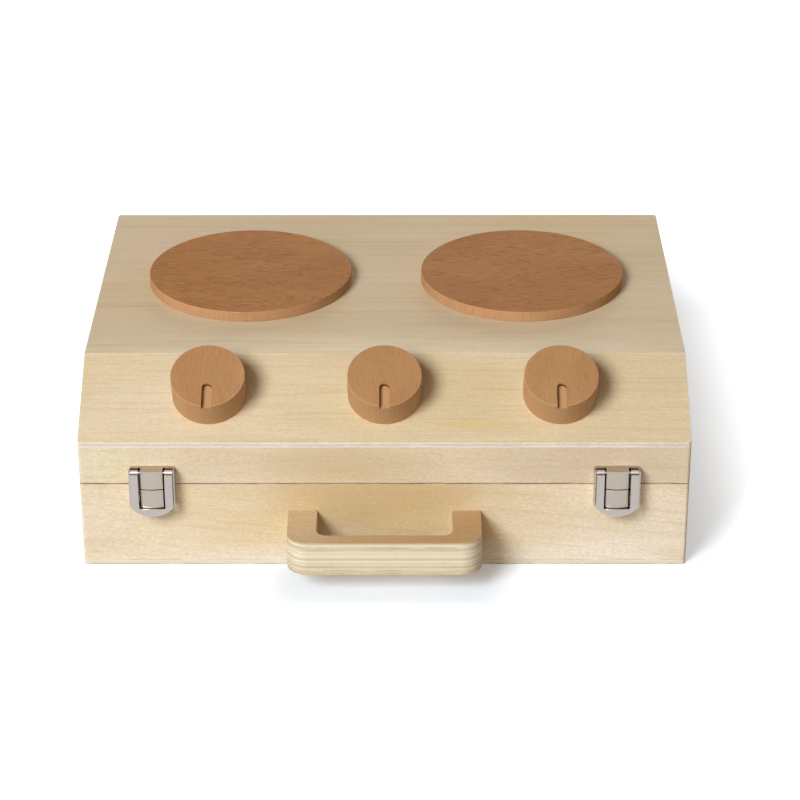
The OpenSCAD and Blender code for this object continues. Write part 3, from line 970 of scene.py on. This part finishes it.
@dataclass
class CaseBase(Part):
    """The tray: four solid walls on a thin plywood bottom."""

    wall_ease: float = 0.4 * MM
    ply_ease: float = 0.2 * MM
    bottom_sheets: float = 3

    def build(self) -> None:
        """Finishes the walls and the bottom."""
        low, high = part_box("base_front")
        # the seam line under the lid, and along the walls' foot a line of painted contact shade
        joints = (Joint(high[2], 0.7, 0.6), Joint(low[2], 0.45, 0.9, (160, 128, 94)))
        self.dress("base_front", Board.FRONT, 1.3, self.front(low[1], joints), self.wall_ease)
        for node, lay, seed in (
            ("base_back", Board.FRONT, 2.1),
            ("base_left", Board.SIDE, 3.9),
            ("base_right", Board.SIDE, 4.6),
        ):
            self.dress(node, lay, seed, PaleWood(joints=joints), self.wall_ease)
        # a dark line along the bottom's lower edge: painted contact shade at the floor
        rim = Joint(0.4 * MM, 0.6, 0.7, (120, 98, 76), reach=0.5 * MM, upright=2)
        bottom = PaleWood(sheets=self.bottom_sheets, edge_deep=(226, 212, 190), glue_share=0.3, joints=(rim,))
        self.dress("base_bottom", Board.LEVEL, 5.2, bottom, self.ply_ease)

    def front(self, face: float, joints: tuple[Joint, ...]) -> PaleWood:
        """The front wall, the board with the liveliest figure: dark in the middle and pale at its ends, with
        painted light behind the handle's grip and painted shadow beside its right leg.

        Args:
            face: How far forward its face lies.
            joints: The lines where it meets the lid and the bottom.

        Returns:
            The finish.
        """
        return PaleWood(
            pale=(237, 223, 197),
            deep=(229, 210, 176),
            mottle_share=0.36,
            speck_share=0.22,
            streak_share=0.28,
            slant=0.1,
            patches=(
                Patch((200, 174, 127), (0.004, face, 0.043), (0.108, 0.042), 0.95),
                Patch((209, 183, 138), (-0.03, face, 0.048), (0.095, 0.016), 0.5),
                # painted light: the wall behind the handle's grip, made lighter than its shade
                Patch((228, 200, 152), (0.015, face, 0.026), (0.035, 0.014), 0.7),
                Patch((243, 232, 214), (0.165, face, 0.03), (0.04, 0.035), 0.7),
                Patch((240, 230, 213), (-0.17, face, 0.03), (0.035, 0.04), 0.6),
                Patch((243, 234, 218), (0.0, face, 0.004), (0.26, 0.012), 0.8, 1.2),
                # painted shadow: darker and warmer beside the handle's right leg
                Patch((218, 184, 134), (0.055, face, 0.02), (0.02, 0.022), 0.7),
                Patch((250, 242, 228), (0.13, face, 0.008), (0.075, 0.026), 0.75),
            ),
            joints=joints,
            worn=0.5,
        )


@dataclass
class CarryingHandle(Part):
    """The U of thick plywood and its two screws."""

    ease: float = 0.8 * MM
    sheets: float = 14
    skin: float = 1.1 * MM

    def build(self) -> None:
        """Finishes the handle and its screws."""
        low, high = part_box("handle")
        middle, top = (low[1] + high[1]) / 2, high[2]
        ply = PaleWood(
            pale=(206, 176, 134),
            deep=(198, 164, 120),
            streak=(172, 128, 80),
            sheets=self.sheets,
            unevenness=1.6,
            drift_size=0.03,
            streak_width=0.0014,
            streak_length=0.03,
            patches=(
                Patch((220, 197, 160), (low[0] + 0.01, middle, top), (0.03, 0.05), 0.8),
                Patch((193, 156, 111), (high[0] - 0.01, middle, top), (0.06, 0.05), 0.6),
            ),
            edge_pale=(240, 229, 205),
            edge_deep=(206, 190, 158),
            glue=(156, 138, 108),
            glue_share=0.6,
            skin=self.skin,
            worn=0.0,
        )
        self.dress("handle", Board.LEVEL, 7.4, ply, self.ease)
        self.dress("handle_screws", Board.LEVEL, 7.9, ZINC)


@dataclass
class CaseLid(Part):
    """The lid: front rail, sides and back of solid wood, plywood hob top and sloping panel."""

    wall_ease: float = 0.35 * MM
    ply_ease: float = 0.15 * MM
    panel_sheets: float = 3
    rail_middle: float = 13.0 * MM

    def build(self) -> None:
        """Finishes the lid's walls and panels."""
        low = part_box("lid_front")[0]
        joints = (Joint(low[2], 0.7, 0.6),)
        rail = self.rail(low[1], low[2] + self.rail_middle, joints)
        self.dress("lid_front", Board.FRONT, 11.3, rail, self.wall_ease)
        for node, lay, seed in (
            ("lid_back", Board.FRONT, 12.8),
            ("lid_left", Board.SIDE, 13.1),
            ("lid_right", Board.SIDE, 14.7),
        ):
            self.dress(node, lay, seed, PaleWood(joints=joints), self.wall_ease)
        line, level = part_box("lid_top")[0][1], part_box("lid_top")[1][2]
        self.dress("lid_top", Board.LEVEL, 15.2, self.top(line, level), self.ply_ease)
        foot = Vector((0.0, low[1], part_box("lid_slope")[0][2]))
        self.dress("lid_slope", Board.SLOPE, 16.5, self.slope(foot), self.ply_ease)

    def rail(self, face: float, middle: float, joints: tuple[Joint, ...]) -> PaleWood:
        """The front rail, darker left of its middle, greyer to the right, with a yellow spot at its left end.

        Args:
            face: How far forward its face lies.
            middle: The height of its middle.
            joints: The line where it meets the base.

        Returns:
            The finish.
        """
        return PaleWood(
            pale=(228, 214, 191),
            deep=(219, 202, 173),
            mottle_share=0.34,
            speck_share=0.2,
            streak_share=0.28,
            slant=0.03,
            joints=joints,
            patches=(
                Patch((207, 187, 151), (-0.025, face, middle), (0.085, 0.02), 0.85),
                Patch((228, 222, 181), (-0.157, face, middle), (0.02, 0.02), 0.7, 1.2),
                Patch((238, 230, 211), (-0.172, face, middle), (0.03, 0.03), 0.5),
                Patch((210, 193, 174), (0.125, face, middle), (0.085, 0.03), 0.8),
            ),
        )

    def top(self, line: float, level: float) -> PaleWood:
        """The hob top, paler along the line where it meets the slope.

        Args:
            line: How far forward that line lies.
            level: The height of its face.

        Returns:
            The finish.
        """
        return PaleWood(
            specular=0.1,
            pale=(227, 210, 179),
            deep=(221, 202, 168),
            streak=(190, 160, 120),
            sheets=self.panel_sheets,
            drift_size=0.05,
            streak_share=0.3,
            streak_length=0.1,
            streak_width=0.0034,
            sway=0.004,
            fibre_share=0.05,
            mottle_share=0.14,
            speck_share=0.06,
            patches=(
                Patch((245, 232, 204), (0.0, line, level), (0.26, 0.036), 0.85),
                Patch((221, 201, 157), (0.11, 0.12, level), (0.1, 0.05), 0.7),
                Patch((228, 203, 178), (-0.12, 0.08, level), (0.08, 0.06), 0.6),
            ),
            edge_deep=(230, 218, 196),
            glue_share=0.35,
        )

    def slope(self, foot: Vector) -> PaleWood:
        """The sloping panel, with swaying streaks and yellower low down right of its middle.

        Args:
            foot: The middle of its lower edge.

        Returns:
            The finish.
        """
        rise = Vector(Board.UP_SLOPE.value.along)
        patches = tuple(
            Patch(colour, tuple(foot + Vector((across, 0.0, 0.0)) + up * rise), *rest)
            for colour, across, up, *rest in (
                ((228, 213, 190), -0.14, 0.03, (0.05, 0.04), 0.8),
                ((216, 196, 156), 0.055, 0.04, (0.06, 0.03), 0.8),
                ((220, 197, 142), 0.05, 0.013, (0.045, 0.006), 0.7, 1.2),
                ((232, 217, 180), 0.07, 0.005, (0.05, 0.003), 0.7, 1.2),
            )
        )
        return PaleWood(
            pale=(228, 212, 181),
            deep=(220, 203, 169),
            streak=(198, 170, 118),
            sheets=self.panel_sheets,
            streak_share=0.42,
            streak_length=0.08,
            streak_width=0.0017,
            sway=0.005,
            patches=patches,
            edge_pale=(234, 227, 216),
            edge_deep=(220, 209, 194),
            glue=(150, 130, 108),
            glue_share=0.6,
            wobble=0.9,
        )


@dataclass
class Burners(Part):
    """The two beech discs on the hob top."""

    fleck_share: float = 0.42
    first_seed: float = 21.0
    seed_step: float = 2.3

    def build(self) -> None:
        """Finishes the discs."""
        beech = Beech(
            fleck_share=self.fleck_share,
            fleck_length=0.005,
            fleck_width=0.0012,
            fibre_share=0.36,
            fibre_length=0.009,
            fibre_width=0.0012,
        )
        for number, side in enumerate(("left", "right")):
            self.dress(f"burner_{side}", Board.LEVEL, self.first_seed + self.seed_step * number, beech)


@dataclass
class Knobs(Part):
    """The three turning knobs with their dowels, washers and screws."""

    groove_ease: float = 0.25 * MM
    washer_ease: float = 0.1 * MM
    fleck_share: float = 0.36
    first_seed: float = 31.0
    seed_step: float = 3.1

    def build(self) -> None:
        """Finishes the knobs and what holds them."""
        beech = Beech(
            specular=0.18,
            body=(185, 142, 98),
            deep=(176, 131, 87),
            side=(186, 146, 103),
            fleck_share=self.fleck_share,
            fleck_depth=0.34,
            fibre_share=0.26,
            groove_shade_share=0.88,
        )
        dowel = PaleWood(pale=(216, 190, 150), deep=(200, 170, 124), streak_width=0.001)
        for number, place in enumerate(("left", "middle", "right")):
            seed = self.first_seed + self.seed_step * number
            self.dress(f"knob_{place}", Board.UP_SLOPE, seed, beech, self.groove_ease)
            self.dress(f"spindle_{place}", Board.UP_SLOPE, seed + 1, dowel)
            self.dress(f"washer_{place}", Board.SLOPE, seed, ZINC, self.washer_ease)
            self.dress(f"knob_screw_{place}", Board.SLOPE, seed, ZINC)


@dataclass
class BoxLatches(Part):
    """The two front latches: housings, levers, pins and screws."""

    sheet_ease: float = 0.18 * MM
    slot_half: float = 7.6 * MM
    slot_depth: float = 2.0 * MM
    half_width: float = 13.2 * MM
    flange_out: float = 2.4 * MM
    flange_depth: float = 0.6 * MM
    flange_sheet: float = 0.9 * MM
    cheek_height: float = 4.0 * MM
    barrel_out: float = 8.4 * MM
    barrel_depth: float = 0.4 * MM
    barrel_width: float = 3.2 * MM
    warm: Triple = (192, 178, 162)

    def build(self) -> None:
        """Finishes the latches."""
        for number, side in enumerate(("left", "right")):
            low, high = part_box(f"latch_head_{side}")
            middle, wall, top = (low[0] + high[0]) / 2, -high[1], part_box(f"latch_lever_{side}")[1][2]
            # Painted shade: in the slot between the lever's arms and the bosses, under the head's flange, and
            # under the lever's barrel.
            slot = PaintedRecessShade(middle, self.slot_half, -low[1], self.slot_depth)
            under_flange = PaintedRecessShade(
                middle,
                self.half_width,
                wall + self.flange_out,
                self.flange_depth,
                (top - self.cheek_height, high[2] - self.flange_sheet),
            )
            under_barrel = PaintedRecessShade(
                middle,
                self.half_width,
                wall + self.barrel_out,
                self.barrel_depth,
                (top - self.barrel_width, top - 0.6 * self.barrel_width),
            )
            # the head, catch and lever, each with its painted shade
            for part, colour, recess_shades in (
                ("latch_head", self.warm, (slot, under_flange)),
                ("latch_catch", self.warm, (slot,)),
                ("latch_lever", NICKEL.colour, (slot, under_barrel)),
            ):
                shaded_sheet = PlatedSheet(recess_shades=recess_shades, colour=colour)
                self.dress(f"{part}_{side}", Board.FRONT, 41.0 + number, shaded_sheet, self.sheet_ease)
            self.dress(f"latch_pins_{side}", Board.FRONT, 43.0, NICKEL)
        for part in ("latch_screws_lid", "latch_screws_base"):
            self.dress(part, Board.FRONT, 44.0, NICKEL)


@dataclass
class ButtHinges(Part):
    """The two hinges on the back."""

    leaf_ease: float = 0.15 * MM

    def build(self) -> None:
        """Finishes the hinges."""
        for part in ("hinge_leaves_base", "hinge_leaves_lid"):
            self.dress(part, Board.FRONT, 51.0, NICKEL, self.leaf_ease)
        for part in ("hinge_pins", "hinge_screws_base", "hinge_screws_lid"):
            self.dress(part, Board.FRONT, 52.0, NICKEL)


# ---- studio ----


@dataclass(frozen=True)
class Lamp:
    """A round soft lamp: where it stands from the oven, how far, how wide and how strong."""

    name: str
    toward: Triple
    away: float
    size: float
    watts: float
    tone: Triple = (1.0, 1.0, 1.0)
    aim_height: float = 0.06

    def build(self) -> None:
        """Hangs the lamp, facing the oven."""
        data = bpy.data.lights.new(self.name, "AREA")
        data.shape, data.size, data.energy = "DISK", self.size, self.watts
        data.color = self.tone
        lamp = bpy.data.objects.new(self.name, data)
        bpy.context.scene.collection.objects.link(lamp)
        toward = Vector(self.toward).normalized()
        lamp.location = toward * self.away + Vector((0.0, 0.0, self.aim_height))
        lamp.rotation_euler = toward.to_track_quat("Z", "Y").to_euler()


@dataclass
class Studio:
    """Pale floor, soft light and the camera."""

    eye: Triple = (0.0127, -1.4645, 0.7838)
    pitch: float = 26.895
    yaw: float = 0.162
    roll: float = -0.089
    focal_pixels: float = 2649.7
    picture_pixels: float = 800.0
    sensor_width: float = 36.0
    clip: Span = (0.05, 50.0)
    fill: float = 0.175
    fill_tone: Triple = (1.0, 0.66, 0.4)
    lamps: tuple[Lamp, ...] = (
        Lamp("key", (-0.66, -1.0, 0.82), 4.0, 1.7, 141.0, (0.96, 1.005, 1.04)),
        Lamp("front_fill", (-0.25, -0.95, 0.08), 4.0, 3.0, 46.0, (1.0, 0.96, 0.9)),
        Lamp("back_fill", (0.15, 0.96, 0.14), 2.4, 1.6, 24.0),
    )
    floor_half: float = 4.0
    floor_drop: float = 0.02 * MM
    floor_seen: Triple = (0.77, 0.84, 0.92)
    floor_glow: Triple = (0.96, 1.0, 1.035)
    floor_bounce: float = 0.5
    floor_lift: float = 0.4
    shadow_reach: float = 0.08
    shadow_back: float = 0.15
    handle_reach: float = 0.035
    handle_shade: float = 0.42

    def build(self) -> None:
        """Makes the floor, the world, the lamps and the camera."""
        self.build_floor()
        self.build_world()
        for lamp in self.lamps:
            lamp.build()
        self.build_camera()

    def looks(self, sheet: Sheet) -> tuple[Link, Link]:
        """Two masks: where the camera looks, and where a mirror reflection or glass looks."""
        path = sheet.add("ShaderNodeLightPath")
        mirrored = sheet.calc("MAXIMUM", path.outputs["Is Glossy Ray"], path.outputs["Is Transmission Ray"])
        return path.outputs["Is Camera Ray"], mirrored

    def build_floor(self) -> None:
        """A pale floor with a painted glow, which keeps the shadow near the oven and otherwise goes over into
        the white behind it.
        """
        mesh = bpy.data.meshes.new("studio_floor")
        half = self.floor_half
        corners = [(-half, -half, 0.0), (half, -half, 0.0), (half, half, 0.0), (-half, half, 0.0)]
        mesh.from_pydata(corners, [], [(0, 1, 2, 3)])
        floor = bpy.data.objects.new("studio_floor", mesh)
        bpy.context.scene.collection.objects.link(floor)
        floor.location.z = -self.floor_drop
        material = bpy.data.materials.new("studio_floor")
        material.use_nodes = True
        material.node_tree.nodes.clear()
        self.paint_floor(Sheet(material.node_tree))
        mesh.materials.append(material)

    def paint_floor(self, sheet: Sheet) -> None:
        """Draws the floor's paint and its painted glow, which lifts it to white away from the oven, is weaker
        near the oven so that the shadow fades out, and weaker still under the handle, a painted shadow there.

        Args:
            sheet: The floor's sheet.
        """
        camera, mirrored = self.looks(sheet)
        seen = sheet.calc("MAXIMUM", camera, mirrored)
        pale, dull = (*self.floor_seen, 1.0), (self.floor_bounce, self.floor_bounce, self.floor_bounce, 1.0)
        paint = sheet.joined("ShaderNodeBsdfDiffuse", (sheet.tint(seen, dull, pale),))
        x, y, _ = sheet.split(sheet.add("ShaderNodeTexCoord").outputs["Object"])
        away = self.apart(sheet, x, y, "base_bottom", self.shadow_back)
        grip = self.apart(sheet, x, y, "handle", 0.0)
        # Painted glow: weak near the oven so its shadow fades out, and cut under the handle as a painted
        # shadow.
        shadow_shaped_glow = sheet.spread(away, 0.0, self.shadow_reach, (self.floor_lift, 1.0))
        shadow_shaped_glow = sheet.times(shadow_shaped_glow, sheet.spread(grip, 0.0, self.handle_reach, (self.handle_shade, 1.0)))
        strength = sheet.plus(sheet.times(camera, shadow_shaped_glow), sheet.times(mirrored, self.floor_lift))
        glow = sheet.joined("ShaderNodeEmission", ((*self.floor_glow, 1.0), strength))
        both = sheet.joined("ShaderNodeAddShader", (paint.outputs[0], glow.outputs[0]))
        sheet.joined("ShaderNodeOutputMaterial", (both.outputs[0],))

    def apart(self, sheet: Sheet, x: Link, y: Link, node: str, behind: float) -> Link:
        """How far a spot of the floor lies outside a piece's footprint.

        Args:
            sheet: The floor's sheet.
            x: The spot's place across.
            y: The spot's depth.
            node: The piece.
            behind: How much longer the footprint is counted towards the back.

        Returns:
            The distance's socket.
        """
        low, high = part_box(node)
        past = []
        for spot, near, far in ((x, low[0], high[0]), (y, low[1], high[1] + behind)):
            aside = sheet.calc("ABSOLUTE", sheet.minus(spot, (near + far) / 2))
            past.append(sheet.minus(aside, (far - near) / 2))
        return sheet.aim("LENGTH", sheet.aim("MAXIMUM", sheet.triple(*past, 0.0), (0.0, 0.0, 0.0)))

    def build_world(self) -> None:
        """White where it is seen, a plain even fill for the rest."""
        world = bpy.data.worlds.new("studio")
        bpy.context.scene.world = world
        world.use_nodes = True
        world.node_tree.nodes.clear()
        sheet = Sheet(world.node_tree)
        seen = sheet.calc("MAXIMUM", *self.looks(sheet))
        dim = (*(self.fill * tone for tone in self.fill_tone), 1.0)
        sky = sheet.joined("ShaderNodeBackground", (sheet.tint(seen, dim, (1.0, 1.0, 1.0, 1.0)),))
        sheet.joined("ShaderNodeOutputWorld", (sky.outputs[0],))

    def build_camera(self) -> None:
        """The camera as fitted to the outlines in the photograph."""
        data = bpy.data.cameras.new("camera")
        data.sensor_width = self.sensor_width
        data.lens = self.focal_pixels * self.sensor_width / self.picture_pixels
        data.clip_start, data.clip_end = self.clip
        camera = bpy.data.objects.new("camera", data)
        bpy.context.scene.collection.objects.link(camera)
        pitch, yaw, roll = (math.radians(a) for a in (self.pitch, self.yaw, self.roll))
        ahead = Vector((-math.sin(yaw) * math.cos(pitch), math.cos(yaw) * math.cos(pitch), -math.sin(pitch)))
        level = Vector((math.cos(yaw), math.sin(yaw), 0.0))
        upward = level.cross(ahead)
        right = math.cos(roll) * level + math.sin(roll) * upward
        top = -math.sin(roll) * level + math.cos(roll) * upward
        turn = Matrix((right, top, -ahead)).transposed().to_4x4()
        camera.matrix_world = Matrix.Translation(self.eye) @ turn
        bpy.context.scene.camera = camera


def main() -> None:
    """Dresses the whole oven and sets up the studio."""
    logging.basicConfig(level=logging.INFO, format="%(message)s")
    bpy.context.scene.view_settings.view_transform = "Standard"
    effects = Effects()
    Studio().build()
    for kind in (CaseBase, CarryingHandle, CaseLid, Burners, Knobs, BoxLatches, ButtHinges):
        kind(effects).build()
        log.info("%s done", kind.__name__)
    bpy.context.view_layer.update()


if __name__ == "__main__":
    main()
